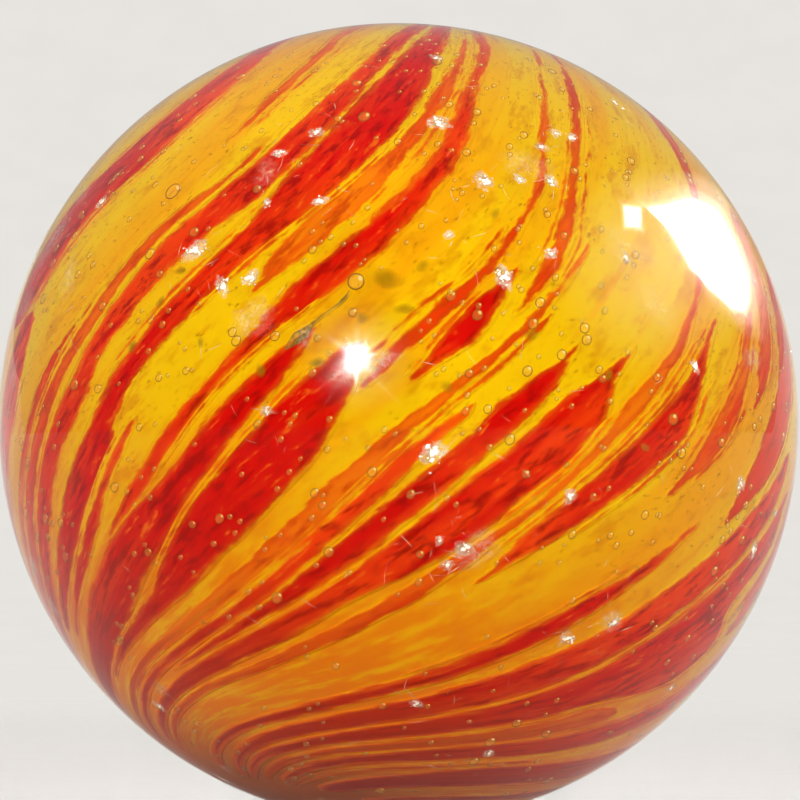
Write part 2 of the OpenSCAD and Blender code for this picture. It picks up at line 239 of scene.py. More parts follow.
# The red ribbons
# Strips of selenium red glass, laid on the yellow as flat cane, pressed level with it and twisted with it.
# Each is a solid strip let into a groove of the core. A ribbon is a shade from 0, orange-red, to 1, deep
# red, and its stations from the upper pole down: height angle, left edge and right edge in degrees.
RED_RIBBONS = [
    (0.5, [(150, -100, -89), (140, -91, -80), (130, -88, -77), (118, -88, -76), (108, -92, -78.5),
           (98, -91, -79), (92, -88, -80)]),
    (0.5, [(89, -80, -74), (84, -79, -71), (78, -78, -68.5), (70, -78, -68), (60, -75, -66.5),
           (48, -70, -62), (36, -66, -57)]),
    (0.6, [(170, -60, -47), (158, -54.5, -46.4), (140, -52.3, -46.2), (122, -53, -46.2),
           (114, -53.7, -46.8), (106, -55.2, -49), (98, -55, -50), (88, -53.7, -49.6), (78, -52.2, -46.5),
           (70, -51.5, -46.4), (60, -49.6, -44.4), (50, -47, -41.5), (40, -46, -37.5), (28, -43, -32),
           (16, -40, -30)]),
    (0.8, [(170, -46, -34), (158, -45.6, -37), (148, -45.6, -36), (130, -45.6, -34.4), (120, -45.6, -35.6),
           (114, -44.6, -37), (106, -44, -38.8), (96, -44.6, -39.7), (84, -43.5, -39.3),
           (77, -42.4, -37.5), (73, -42, -35), (64, -41, -33.8), (54, -39.4, -33.6), (46, -38.6, -34)]),
    (0.5, [(75, -34.2, -33), (66, -33, -30.8), (58, -31.9, -28.6), (50, -31.2, -28), (45, -30.6, -28.6)]),
    (0.5, [(164, -30, -24), (150, -28, -24.5), (140, -28, -25), (132, -26.8, -22.5), (124, -26, -21.5),
           (114, -27, -21.6), (108, -27.9, -22), (101, -28.5, -23), (94, -27.6, -24.6), (84, -27, -24.7),
           (74, -26.8, -23.7), (66, -26.2, -23.2), (61, -25.8, -24.6)]),
    (0.9, [(94, -20.2, -19.2), (90, -21.4, -17.5), (80, -21.3, -15.8), (70, -21.1, -14.4),
           (60, -24, -12.8), (52, -25, -11.4), (45, -24, -8.8), (38, -23, -8.6), (30, -22, -10),
           (20, -18, -8)]),
    (1.0, [(93, -13.4, -10.5), (88, -14.3, -6.5), (80, -13.7, -2.8), (72, -13.2, -1), (62, -12, -0.3),
           (55, -9.8, -0.5), (50, -7.4, -0.8), (43, -7, -2.2), (37, -6.6, -4.4)]),
    (0.8, [(110, -2.6, -1.2), (106, -3.4, 0.1), (101, -3.3, 1.4), (97, -2.4, 0.8), (94, -1.3, -0.4)]),
    (0.35, [(88, 9.2, 10.8), (82, 8.2, 11.2), (72, 8.8, 12.2), (62, 9.7, 13.3), (54, 9.9, 14),
           (45, 10, 14.4), (36, 10, 15.4), (26, 10.4, 17.4), (16, 12, 19)]),
    (0.85, [(101, 14.8, 15.8), (97, 14, 17.3), (90, 13.2, 18.6), (85, 14.2, 18.3), (79, 13.9, 19),
           (70, 14.1, 19.3), (62, 14.4, 19.3), (54, 14.9, 18.9), (46, 15.4, 18.6), (40, 16.4, 18.4)]),
    (0.65, [(103, 23.4, 24.3), (99, 22.3, 25), (95, 20.6, 28), (88, 20.6, 29.8), (76, 20.8, 30),
           (66, 20.6, 29.3), (56, 20, 26.7), (46, 20, 27.8), (36, 20.8, 29), (26, 22.4, 29.4),
           (16, 23, 29)]),
    (0.45, [(111, 35.4, 36.3), (105, 36, 38.7), (100, 36.4, 41.5), (95, 36.3, 43.2), (88, 36, 42.8),
           (80, 36, 41.5), (74, 36, 40.3), (67, 38, 39)]),
    (0.5, [(81, 59.2, 59.9), (75, 58.4, 60.3), (68, 56.7, 60.3), (58, 56, 60.7), (48, 55.8, 61.2),
           (40, 56.8, 62.8), (33, 59, 65.6), (25, 60, 67.4), (16, 58, 66)]),
    (0.55, [(96, 72.4, 76), (90, 71, 77.3), (82, 69, 76.6), (75, 67.8, 75.6), (65, 66.8, 75.2),
           (54, 65.5, 75.8), (44, 65.6, 76.6), (34, 68.4, 79.2), (24, 72, 82), (14, 74, 83)]),
    (0.6, [(91, 80.6, 82.6), (85, 79.4, 86), (77, 78, 86.3), (73, 77.4, 88), (69, 77, 94),
           (62, 76.7, 96.5), (57, 76.6, 95), (53, 76.6, 90), (43, 77.4, 89.7), (34, 80.3, 90.6),
           (24, 83.2, 92.6), (14, 84.4, 92)]),
    (0.5, [(82, 106, 109), (70, 105, 112), (56, 104, 112.4), (45, 102, 112), (35, 101.6, 112.4),
           (25, 104, 114), (15, 106, 116)]),
    (0.5, [(49, 125, 131), (42, 122, 139), (33, 121.4, 140), (24, 127, 145), (15, 131, 148)]),
    (0.5, [(168, 74, 84), (150, 80, 88), (134, 82, 91), (120, 86, 94), (110, 89, 95), (103, 91.6, 93.6)]),
    (0.6, [(172, 106, 124), (150, 112, 124), (130, 113, 127), (112, 115, 126), (98, 118, 124),
           (91, 120, 121.6)]),
    (0.8, [(160, 134, 140), (140, 133, 142), (122, 131, 143), (106, 130, 141), (90, 127.4, 138),
           (72, 128, 136), (62, 130.4, 133.6)]),
    (0.5, [(172, 154, 172), (146, 160, 172), (125, 162, 173), (105, 161, 170), (92, 160, 166),
           (84, 161.4, 163)]),
    (0.6, [(88, 153, 156), (76, 151, 160), (62, 150, 162), (48, 149, 161), (36, 151, 160), (26, 156, 164),
           (16, 160, 170)]),
    (0.4, [(170, 180, 194), (150, 186, 197), (132, 188, 199), (115, 189, 197), (104, 190.6, 193.6)]),
    (0.7, [(98, 189, 191.6), (84, 186, 197), (70, 184, 197), (56, 182, 194), (42, 181, 191.6),
           (28, 179, 189), (16, 179, 190)]),
    (0.5, [(168, 214, 228), (142, 220, 232), (120, 221, 233), (104, 221, 230), (92, 220, 227),
           (80, 219.4, 222)]),
    (0.8, [(86, 237, 239.6), (72, 232, 243), (58, 229, 241), (44, 226, 238), (30, 222, 233),
           (18, 220, 231)]),
    (0.6, [(66, 257, 260), (54, 250, 262), (42, 246, 260), (30, 242.6, 255), (18, 240, 250)]),
    (0.4, [(54, 279, 283), (46, 276, 285), (36, 273, 284), (26, 270, 281), (16, 268, 280)]),
]
RED_DEPTH = 0.5
# A ribbon's rows, in degrees apart, its columns, and how far its rounded tips reach past its stations
ROW_STEP = 1.25
COLUMNS = 8
TIP = 3
# A ribbon's face stands this far out of the core at its edges and at its middle, in millimetres
EDGE_RISE = 0.006
MIDDLE_RISE = 0.03
# Most that an edge wanders, and the feathered rim outside its stations, in degrees
EDGE_WANDER = 0.45
FEATHER = 0.75


def edges_at(stations, height):
    """The two edges of a ribbon at a height angle, on a smooth curve through its stations."""
    height = max(stations[-1][0], min(stations[0][0], height))
    last = len(stations) - 1
    i = next(k for k in range(last) if height >= stations[k + 1][0])
    above, start, end, below = (stations[max(0, min(last, k))] for k in (i - 1, i, i + 1, i + 2))
    t = (start[0] - height) / (start[0] - end[0])
    edges = []
    for side in (1, 2):
        slope_in = (end[side] - above[side]) * (start[0] - end[0]) / (above[0] - end[0])
        slope_out = (below[side] - start[side]) * (start[0] - end[0]) / (start[0] - below[0])
        edges.append(
            (2 * t**3 - 3 * t**2 + 1) * start[side] + (t**3 - 2 * t**2 + t) * slope_in
            + (3 * t**2 - 2 * t**3) * end[side] + (t**3 - t**2) * slope_out
        )
    return edges


def wander(height, turn, part):
    """A small sway of a ribbon's edge, the same on every run."""
    slow = noise.noise(Vector((height * 0.16, turn * 0.37, part)))
    quick = noise.noise(Vector((height * 0.55, turn * 0.37, part + 9)))
    return slow + 0.5 * quick


def thicken(piece, thickness):
    """Makes a closed leaf of a sheet, inwards by a thickness in millimetres."""
    wall = piece.modifiers.new("thickness", "SOLIDIFY")
    wall.thickness = thickness * MM
    wall.offset = -1
    bpy.ops.object.modifier_apply(modifier=wall.name)


def lay_ribbon(stations, shade, depth, swing=EDGE_WANDER):
    """One ribbon as a closed strip, let into the core by its depth."""
    top, bottom = stations[0][0] + TIP, stations[-1][0] - TIP
    rows = max(6, round((top - bottom) / ROW_STEP))
    bpy.ops.object.select_all(action="DESELECT")
    bpy.ops.mesh.primitive_grid_add(x_subdivisions=COLUMNS, y_subdivisions=rows, size=2)
    ribbon = bpy.context.active_object
    canes, inset, shades = [], [], []
    for vertex in ribbon.data.vertices:
        across, along = vertex.co.x, vertex.co.y
        height = (top + bottom) / 2 + along * (top - bottom) / 2
        left, right = edges_at(stations, height)
        beyond = max(height - stations[0][0], stations[-1][0] - height, 0) / TIP
        width = (right - left + 2 * FEATHER) * max(0.04, math.sqrt(max(0, 1 - beyond**2)))
        middle = (left + right) / 2
        sway = swing * min(1, width / 2)
        left = middle - width / 2 + sway * wander(height, middle, 0)
        right = middle + width / 2 + sway * wander(height, middle, 4)
        turn = (left + right) / 2 + across * (right - left) / 2
        rise = EDGE_RISE + (MIDDLE_RISE - EDGE_RISE) * (1 - across**4)
        vertex.co = swirl_point(height, turn, CORE_R + rise) * MM
        canes.append(cane_place(height, turn))
        breadth = math.radians(right - left) * CORE_R * math.sin(math.radians(height))
        inset.append((1 - abs(across)) * breadth / 2)
        shades.append(shade)
    give_attribute(ribbon.data, "cane", "FLOAT_VECTOR", canes)
    give_attribute(ribbon.data, "inset", "FLOAT", inset)
    give_attribute(ribbon.data, "shade", "FLOAT", shades)
    thicken(ribbon, depth)
    return ribbon


def face_outwards(piece):
    """Turns every face of a closed piece to the outside."""
    select_only([piece])
    bpy.ops.object.mode_set(mode="EDIT")
    bpy.ops.mesh.select_all(action="SELECT")
    bpy.ops.mesh.normals_make_consistent(inside=False)
    bpy.ops.object.mode_set(mode="OBJECT")


def join_pieces(pieces, name):
    """Makes one piece of several, and gives it a name."""
    select_only(pieces)
    bpy.ops.object.join()
    pieces[0].name = name
    return pieces[0]


def lay_ribbons(ribbons, depth, name):
    """All the ribbons of one colour, as one piece."""
    piece = join_pieces([lay_ribbon(stations, shade, depth) for shade, stations in ribbons], name)
    face_outwards(piece)
    smooth_all(piece)
    return piece


def press_grooves(ribbons, depth):
    """Sinks the core under the ribbons, well inside their edges, by the depth that they reach."""
    margin = 2 * 360 / CORE_SEGMENTS
    for shade, stations in ribbons:
        heights = np.array([s[0] for s in stations][::-1])
        left = np.interp(core_heights, heights, [s[1] for s in stations][::-1]) + margin
        right = np.interp(core_heights, heights, [s[2] for s in stations][::-1]) - margin
        inside = (core_heights > heights[0] + 1) & (core_heights < heights[-1] - 1)
        middle = (left + right) / 2
        off = (core_turns - middle + 180) % 360 - 180
        inside &= np.abs(off) < (right - left) / 2
        for k in np.flatnonzero(inside):
            core.data.vertices[int(k)].co *= (CORE_R - depth) / CORE_R


def ribbon_glass(name, light, deep, dense, painted_shade):
    """Opaque soda glass ribbon: streaked from its light to its deep shade, with painted shade that darkens
    it towards the lower pole, and thin and feathered at its edges, where the yellow shows through."""
    material, tree, output = new_material(name)
    cane = add_node(tree, "ShaderNodeAttribute", {"attribute_name": "cane"}).outputs["Vector"]
    shade = add_node(tree, "ShaderNodeAttribute", {"attribute_name": "shade"}).outputs["Fac"]
    inset = add_node(tree, "ShaderNodeAttribute", {"attribute_name": "inset"}).outputs["Fac"]
    # Streaks 0.3 to 1.2 mm wide, drawn out along the ribbon
    streak = drawn_grain(
        tree, cane, 0.22, {"Scale": 0.9, "Detail": 5, "Roughness": 0.66, "Distortion": 0.5}
    )
    swing = add_node(
        tree, "ShaderNodeMapRange", None,
        {"Value": streak, "From Min": 0.38, "From Max": 0.62, "To Min": -0.5, "To Max": 0.5},
    )
    streaked = add_node(
        tree, "ShaderNodeMath", {"operation": "ADD", "use_clamp": True}, {0: shade, 1: swing.outputs[0]}
    )
    body = lay_colours(tree, hex_colour(light), [(streaked.outputs[0], 0, 1, 1, deep)], "LINEAR")
    clot = drawn_grain(tree, cane, 0.45, {"Scale": 2.4, "Detail": 5, "Roughness": 0.74})
    along = add_node(tree, "ShaderNodeSeparateXYZ", None, {0: cane}).outputs[2]
    layers = [
        # Denser clots of colour, 0.3 to 1 mm long
        (clot, 0.49, 0.62, 0.8, dense),
        # Thin flecks where the yellow comes through
        (clot, 0.42, 0.32, 0.7, "#FF8410"),
        # Painted shade: darker towards the lower pole
        (along, CANE_LENGTH * 0.38, CANE_LENGTH * 0.12, 0.85, painted_shade),
    ]
    darkened = lay_colours(tree, body, layers)
    # The edge is uneven at 0.05 to 0.4 mm
    hair = drawn_grain(tree, cane, 0.5, {"Scale": 2.8, "Detail": 6, "Roughness": 0.7})
    fray = add_node(tree, "ShaderNodeMath", {"operation": "MULTIPLY_ADD"}, {0: hair, 1: -0.5, 2: inset})
    cover = add_node(
        tree, "ShaderNodeMapRange", {"interpolation_type": "SMOOTHSTEP"},
        {"Value": fray.outputs[0], "From Min": -0.21, "From Max": -0.11},
    )
    # Just inside the edge the two colours ran into each other and went orange. The browner share, where the
    # ribbon is deep, is painted shade along the edge.
    rim_share = add_node(
        tree, "ShaderNodeMapRange", {"interpolation_type": "SMOOTHSTEP"},
        {"Value": fray.outputs[0], "From Min": -0.13, "From Max": 0.03, "To Min": 0.85, "To Max": 0},
    )
    rim = lay_colours(tree, hex_colour("#FF7800"), [(streaked.outputs[0], 0, 1, 1, "#DA4C00")], "LINEAR")
    rimmed = add_node(
        tree, "ShaderNodeMix", {"data_type": "RGBA"},
        {MIX_FACTOR: rim_share.outputs[0], MIX_A: darkened, MIX_B: rim},
    )
    colour = add_node(
        tree, "ShaderNodeMix", {"data_type": "RGBA"},
        {
            MIX_FACTOR: cover.outputs[0],
            MIX_A: add_yellow_pattern(tree, cane),
            MIX_B: rimmed.outputs[MIX_RESULT],
        },
    )
    surface = add_node(
        tree, "ShaderNodeBsdfPrincipled", None,
        {"Base Color": colour.outputs[MIX_RESULT], "Roughness": 0.5, "Specular IOR Level": 0.0},
    )
    tree.links.new(surface.outputs[0], output.inputs["Surface"])
    return material


red_ribbons = lay_ribbons(RED_RIBBONS, RED_DEPTH, "red_glass_ribbons")
press_grooves(RED_RIBBONS, RED_DEPTH)
# Selenium red: a clear bright red that looks orange where it is thin
red_glass = ribbon_glass("selenium_red_glass", "#FA4600", "#DE0600", "#9C0400", "#B02A00")
red_ribbons.data.materials.append(red_glass)
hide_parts("red_ribbons")
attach(red_ribbons, "root")

# The orange ribbons
# Thinner strips of orange glass between the red ones, let less deep into the core. They are the same make
# and follow the same twist, and many are no wider than a thread.
ORANGE_RIBBONS = [
    (0.4, [(160, -78, -70), (150, -71, -66), (145, -67.4, -63.5), (138, -65.2, -62.5), (130, -63.5, -61.7),
           (125, -62.6, -61.9)]),
    (1.0, [(120, -55.1, -54.5), (115, -56, -54.7), (110, -58, -56), (104, -59, -56.6), (95, -58.8, -56.2),
           (88, -58, -55.4), (80, -57.6, -54.8), (70, -56.6, -53), (60, -55.6, -51.6), (50, -54, -48.6),
           (38, -53.4, -48.4)]),
    (0.9, [(88, -60.6, -59.9), (82, -61.5, -59), (74, -60.4, -58.4), (64, -60, -57.4), (54, -59.4, -56.4)]),
    (0.6, [(160, -33.4, -30.9), (146, -33, -30.2), (136, -32.7, -29.7), (126, -33, -29.5), (118, -35, -30),
           (110, -36.2, -31), (105, -36, -31.7), (101.5, -33.8, -32.6)]),
    (0.9, [(160, -7, -3), (156, -9, -6.3), (150, -11.5, -9.6), (144, -12, -10.1), (135, -10.8, -9.1),
           (126, -8, -6.5), (118, -6.5, -5.3), (110, -6.6, -5.1), (103, -8, -5), (97, -7.8, -5.5),
           (91, -6, -5.3)]),
    (0.8, [(159, 1, 5), (152, -2.6, -0.5), (145, -5, -2.1), (138, -4.6, -2.2), (130, -3, -1.2),
           (124, -1.2, 0.4), (119, 0, 2.8), (113, 1.4, 4), (107.5, 3, 3.7)]),
    (0.6, [(116, 5.8, 6.3), (105, 5.8, 6.9), (92, 5, 6.4), (84, 4, 6.3), (75, 3.8, 7.5), (65, 4.2, 8.5),
           (50, 4.7, 8.9), (40, 4, 8.4), (28, 3, 8.4), (16, 3, 9)]),
    (0.75, [(150, 27, 31), (142, 23.6, 29), (135, 24.6, 28), (126, 27, 29.2), (114, 29.4, 30.5),
           (107, 30.2, 32.3), (100, 29.9, 32.7), (92, 31, 32.9), (84, 32.2, 33.3), (76, 32.3, 33.5),
           (68, 31.2, 34), (56, 31, 34.5), (44, 31, 35), (32, 31.4, 36), (18, 32, 38)]),
    (0.7, [(114, 43.6, 45.4), (108, 46, 48.6), (100, 47, 51.6), (94, 48, 51.9), (88, 49, 50)]),
    (0.5, [(130, 41, 45), (122, 45, 49.4), (115, 49, 53), (109, 51.6, 55.4), (104.5, 54, 55.4)]),
    (0.9, [(122, 54, 59), (114, 58, 65.4), (106, 60.5, 69), (98, 61.3, 70), (92, 63, 69),
           (87, 64.8, 66.4)]),
    (0.8, [(95, 85, 90), (85, 88.6, 95), (77, 90.6, 98), (73, 95, 98)]),
    (0.6, [(50, 92, 99.6), (38, 92.4, 100), (26, 95, 102), (15, 96, 103)]),
    (0.5, [(36, 116, 118.4), (24, 118.6, 122), (14, 121, 125)]),
    (0.4, [(160, 97, 101), (140, 99, 103), (120, 101, 104), (100, 102.6, 105.4), (90, 104, 105.2)]),
    (0.5, [(97, 110, 112.6), (86, 112.6, 116.4), (74, 115, 118), (64, 117, 118.4)]),
    (0.5, [(150, 148, 151), (125, 149, 153), (100, 147.6, 151.4), (82, 144.6, 148.6), (66, 142.6, 146.6),
           (54, 143, 145.4)]),
    (0.5, [(120, 178, 181), (100, 176, 181), (80, 172, 179), (60, 170, 176), (45, 169, 174),
           (30, 169, 174)]),
    (0.4, [(155, 205, 209), (130, 207, 211), (105, 206, 210), (85, 205, 209), (70, 203.6, 206)]),
    (0.6, [(75, 213.6, 216), (60, 210, 217), (48, 207, 214), (34, 204.6, 211), (20, 202, 209)]),
    (0.5, [(150, 239, 242), (125, 240, 244), (105, 241, 244.5), (91, 242, 243.4)]),
    (0.5, [(80, 263, 265), (66, 267.6, 271), (52, 268, 273), (40, 264.6, 269), (28, 261, 266)]),
]
ORANGE_DEPTH = 0.3

orange_ribbons = lay_ribbons(ORANGE_RIBBONS, ORANGE_DEPTH, "orange_glass_ribbons")
press_grooves(ORANGE_RIBBONS, ORANGE_DEPTH)
# Orange glass: the same opaque glass with less of the red in it
orange_glass = ribbon_glass("cadmium_orange_glass", "#FF9400", "#F03C00", "#D04000", "#C04800")
orange_ribbons.data.materials.append(orange_glass)
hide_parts("orange_ribbons")
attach(orange_ribbons, "root")

# The threads
# Hairs of red and orange glass that pulled off the ribbons' edges while the cane was drawn. They lie in the
# core's surface beside a ribbon and are as long as a few millimetres.
THREAD_DEPTH = 0.06
# Their lengths, gaps and widths below are in degrees, as the ribbons' stations are
THREAD_STEPS = 6
THREAD_WANDER = 0.3
random.seed(11)
threads = []
for shade, stations in RED_RIBBONS + ORANGE_RIBBONS:
    for k in range(random.choice((1, 2))):
        span = stations[0][0] - stations[-1][0]
        length = min(span * 0.8, random.uniform(14, 40))
        start = stations[0][0] - random.uniform(0, span - length)
        side = random.choice((-1, 1))
        gap = random.uniform(0.35, 1.5)
        width = random.uniform(0.02, 0.3)
        line = []
        for step in range(THREAD_STEPS + 1):
            height = start - length * step / THREAD_STEPS
            left, right = edges_at(stations, height)
            edge = left - gap - width if side < 0 else right + gap
            # Thickest halfway, and almost nothing at its ends
            thickness = width * math.sin(math.pi * (step + 0.6) / (THREAD_STEPS + 1.2))
            line.append((height, edge, edge + thickness))
        threads.append(lay_ribbon(line, random.uniform(0.2, 0.9), THREAD_DEPTH, THREAD_WANDER))
threads = join_pieces(threads, "drawn_threads")
face_outwards(threads)
smooth_all(threads)
drawn_glass = ribbon_glass("drawn_orange_glass", "#FF8C00", "#E85000", "#C85000", "#A04800")
threads.data.materials.append(drawn_glass)
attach(threads, "root")

# The clear glass
# A last gather of clear soda-lime glass, about 0.8 mm thick, rolled round in a wet wooden block and fire
# polished. It is one solid with the colours, so it has only an outer surface, with shallow nicks from use.
CLEAR_SEGMENTS = 320
CLEAR_RINGS = 160
# Nicks: right and up of the centre as seen from the front, and width, in millimetres
NICKS = [
    (2.1, 6.0, 0.55), (1.0, 7.45, 0.6), (3.55, 6.85, 0.4), (3.9, 7.2, 0.35), (4.3, 7.1, 0.4),
    (3.78, 6.0, 0.4),
    (3.0, 6.05, 0.35), (3.78, 4.2, 0.4), (2.6, 3.62, 0.65), (1.25, 4.65, 0.3), (5.65, 4.1, 0.35),
    (0.95, 9.1, 0.35), (5.4, 8.0, 0.35), (7.35, 1.4, 0.4), (-5.05, 4.3, 0.75),
    (-4.35, 3.4, 0.6), (-3.65, 3.6, 0.5), (-2.05, 7.2, 0.4), (-2.95, 6.7, 0.4), (-1.95, 5.5, 0.45),
    (-3.25, 5.45, 0.3), (-9.1, 4.1, 0.4), (-7.4, 5.5, 0.45), (-3.25, 0.3, 0.35), (-5.95, -7.05, 0.4),
    (-4.4, -8.9, 0.5), (0.85, -0.72, 0.75), (1.6, -3.1, 0.45), (1.0, -2.9, 0.25), (1.2, -3.5, 0.35),
    (4.25, -1.8, 0.4), (8.5, -1.5, 0.45), (9.4, -2.25, 0.35), (8.85, -3.15, 0.5), (0.45, -6.95, 0.35),
    (4.2, -5.35, 0.45), (5.35, -4.95, 0.45), (6.8, -6.6, 0.35), (2.25, -8.2, 0.35),
]
HIDDEN_NICKS = 30
GLASS_IOR = 1.5
NICK_DEPTH = 0.03
OUT_OF_ROUND = 0.012


def front_place(right, up):
    """The place on a ball with a radius of 1 that shows right and up of its centre, in millimetres."""
    depth = math.sqrt(max(0, BALL_R**2 - right**2 - up**2))
    return Vector((right, -depth, up)) / BALL_R


def bend(from_front, radius):
    """Radians that the clear glass moves what is seen on an inner sphere, at an angle from the front."""
    slant = math.sin(min(from_front, math.pi / 2)) / GLASS_IOR
    fade = min(1, (math.pi - from_front) / (math.pi / 2))
    return (math.asin(slant * BALL_R / radius) - math.asin(slant)) * fade


def behind_glass(place, radius):
    """The point of an inner sphere that shows, from the front, at a place on the ball's surface."""
    from_front = math.acos(max(-1, min(1, -place.y)))
    moved = from_front + bend(from_front, radius)
    sideways = max(math.hypot(place.x, place.z), 1e-9)
    reach = math.sin(moved) / sideways
    return Vector((place.x * reach, -math.cos(moved), place.z * reach)) * radius


random.seed(23)
nick_places = [(front_place(right, up), width) for right, up, width in NICKS]
for k in range(HIDDEN_NICKS):
    place = Vector([random.gauss(0, 1) for axis in range(3)]).normalized()
    place.y = abs(place.y)
    nick_places.append((place, random.uniform(0.3, 0.6)))
bpy.ops.object.select_all(action="DESELECT")
bpy.ops.mesh.primitive_uv_sphere_add(segments=CLEAR_SEGMENTS, ring_count=CLEAR_RINGS, radius=BALL_R)
clear = bpy.context.active_object
clear.name = "clear_glass_ball"
places = np.array([vertex.co.normalized() for vertex in clear.data.vertices])
# Handmade: out of round by a hundredth of a millimetre
radii = np.array([BALL_R + OUT_OF_ROUND * noise.noise(Vector(place) * 2.3) for place in places])
for centre, width in nick_places:
    share = np.linalg.norm(places - np.array(centre), axis=1) * BALL_R / (width / 2)
    radii -= NICK_DEPTH * np.clip(1 - share**2, 0, 1)
clear.data.vertices.foreach_set("co", (places * radii[:, None] * MM).ravel())
smooth_all(clear)

# The room is paler than the ones that such glass is seen in, so what mirrors it head on is held back
ROOM_MIRRORED = (0.2, 0.2, 0.2, 1)


def soda_lime_glass():
    """Colourless soda-lime glass, fire polished: it mirrors the lamps sharply and lets light through."""
    material, tree, output = new_material("clear_soda_lime_glass")
    grain = add_node(tree, "ShaderNodeTexCoord").outputs["Object"]
    # Polished by hand, it isn't quite even: ripples about 1 mm long
    ripple = drawn_grain(tree, grain, 1, {"Scale": 900, "Detail": 3, "Roughness": 0.5})
    bump = add_node(
        tree, "ShaderNodeBump", None, {"Height": ripple, "Strength": 0.06, "Distance": 0.00005}
    )
    glass = add_node(
        tree, "ShaderNodeBsdfPrincipled", None,
        {
            "Base Color": hex_colour("#FFFFFF"), "Roughness": 0.0, "IOR": GLASS_IOR,
            "Transmission Weight": 1.0, "Specular Tint": ROOM_MIRRORED, "Normal": bump.outputs[0],
        },
    )
    through = add_node(tree, "ShaderNodeBsdfTransparent")
    path = add_node(tree, "ShaderNodeLightPath")
    surface = add_node(
        tree, "ShaderNodeMixShader", None,
        {0: path.outputs["Is Shadow Ray"], 1: glass.outputs[0], 2: through.outputs[0]},
    )
    tree.links.new(surface.outputs[0], output.inputs["Surface"])
    return material


clear.data.materials.append(soda_lime_glass())
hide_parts("clear_casing")
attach(clear, "root")

# The air seeds
# Air caught between the gathers, as round bubbles in the clear glass. Each is a hollow in it, so its skin
# faces inwards. Most are no wider than two hairs, and they come in clouds.
LARGE_SEEDS = [
    (-1.05, 3.5, 0.42), (-5.6, 5.75, 0.38), (4.6, 2.35, 0.26), (4.65, 2.06, 0.26), (-0.85, 7.6, 0.28),
    (5.05, 1.1, 0.2), (-4.1, 2.25, 0.22), (-3.05, 2.15, 0.24), (-7.35, 2.9, 0.22), (-8.05, 0.95, 0.26),
    (-7.45, 0.85, 0.22), (4.35, 6.25, 0.24), (1.68, 6.7, 0.22), (2.75, 6.85, 0.18), (1.25, 7.9, 0.2),
    (-6.2, -3.2, 0.2), (6.8, 0.1, 0.28), (2.75, -0.4, 0.26), (-1.5, 7.55, 0.2), (-0.65, -1.2, 0.24),
    (2.2, 0.35, 0.22), (1.65, 0.3, 0.18), (-1.15, 1.2, 0.16), (5.0, 3.4, 0.16), (-2.0, 2.1, 0.18),
    (-1.7, 0.1, 0.16), (-2.45, 6.4, 0.16), (0.3, -1.75, 0.2), (-5.1, -2.5, 0.18), (-0.4, -7.0, 0.18),
]
FINE_SEEDS = 1400
SEED_IN_GLASS = 0.4
# Where the painted glint lies on each bubble: to the right, to the front and up
PAINTED_GLINT_FROM = Vector((0.5, -0.72, 0.48)).normalized()
# The way that the swirl runs across the front
SWIRL_RUN = np.array((0.49, 0, 0.87))
random.seed(31)


def take_apart(piece):
    """Turns a small piece into a pattern to copy: its points and its faces."""
    points = np.array([vertex.co for vertex in piece.data.vertices])
    faces = np.array([face.vertices for face in piece.data.polygons])
    bpy.data.objects.remove(piece)
    return points, faces


def put_together(name, copies):
    """One piece of many copies, each with its own points in millimetres and its faces."""
    points, faces = [], []
    laid = 0
    for copy_points, copy_faces in copies:
        points.append(copy_points)
        faces.append(copy_faces + laid)
        laid += len(copy_points)
    mesh = bpy.data.meshes.new(name)
    mesh.from_pydata((np.concatenate(points) * MM).tolist(), [], np.concatenate(faces).tolist())
    piece = bpy.data.objects.new(name, mesh)
    bpy.context.scene.collection.objects.link(piece)
    return piece


def blow_bubble(detail):
    """One round bubble, 1 mm across, with its skin turned inwards."""
    bpy.ops.object.select_all(action="DESELECT")
    bpy.ops.mesh.primitive_ico_sphere_add(subdivisions=detail, radius=0.5)
    bubble = bpy.context.active_object
    bubble.data.flip_normals()
    return take_apart(bubble)


def stamp_bubbles(bubble, seeds, name):
    """One piece with a copy of the bubble for each seed, drawn out a little along the ball's swirl."""
    points, faces = bubble
    along = points @ SWIRL_RUN
    copies = []
    for place, radius, diameter in seeds:
        drawn = points + np.outer(along * random.uniform(0, 0.25), SWIRL_RUN)
        copies.append((np.array(behind_glass(place, radius)) + drawn * diameter, faces))
    return put_together(name, copies)


large_seeds = [
    (front_place(right, up), BALL_R - SEED_IN_GLASS, diameter) for right, up, diameter in LARGE_SEEDS
]
fine_seeds = []
while len(fine_seeds) < FINE_SEEDS:
    place = Vector([random.gauss(0, 1) for axis in range(3)]).normalized()
    # The gaps between the clouds
    if noise.noise(place * 3.1) < random.uniform(-0.5, 0.35):
        continue
    diameter = min(0.26, 0.1 + random.expovariate(1 / 0.05))
    fine_seeds.append((place, BALL_R - random.uniform(0.12, 0.66), diameter))
seeds = [
    stamp_bubbles(blow_bubble(4), large_seeds, "large_seeds"),
    stamp_bubbles(blow_bubble(2), fine_seeds, "fine_seeds"),
]
seeds = join_pieces(seeds, "air_seeds")
smooth_all(seeds)


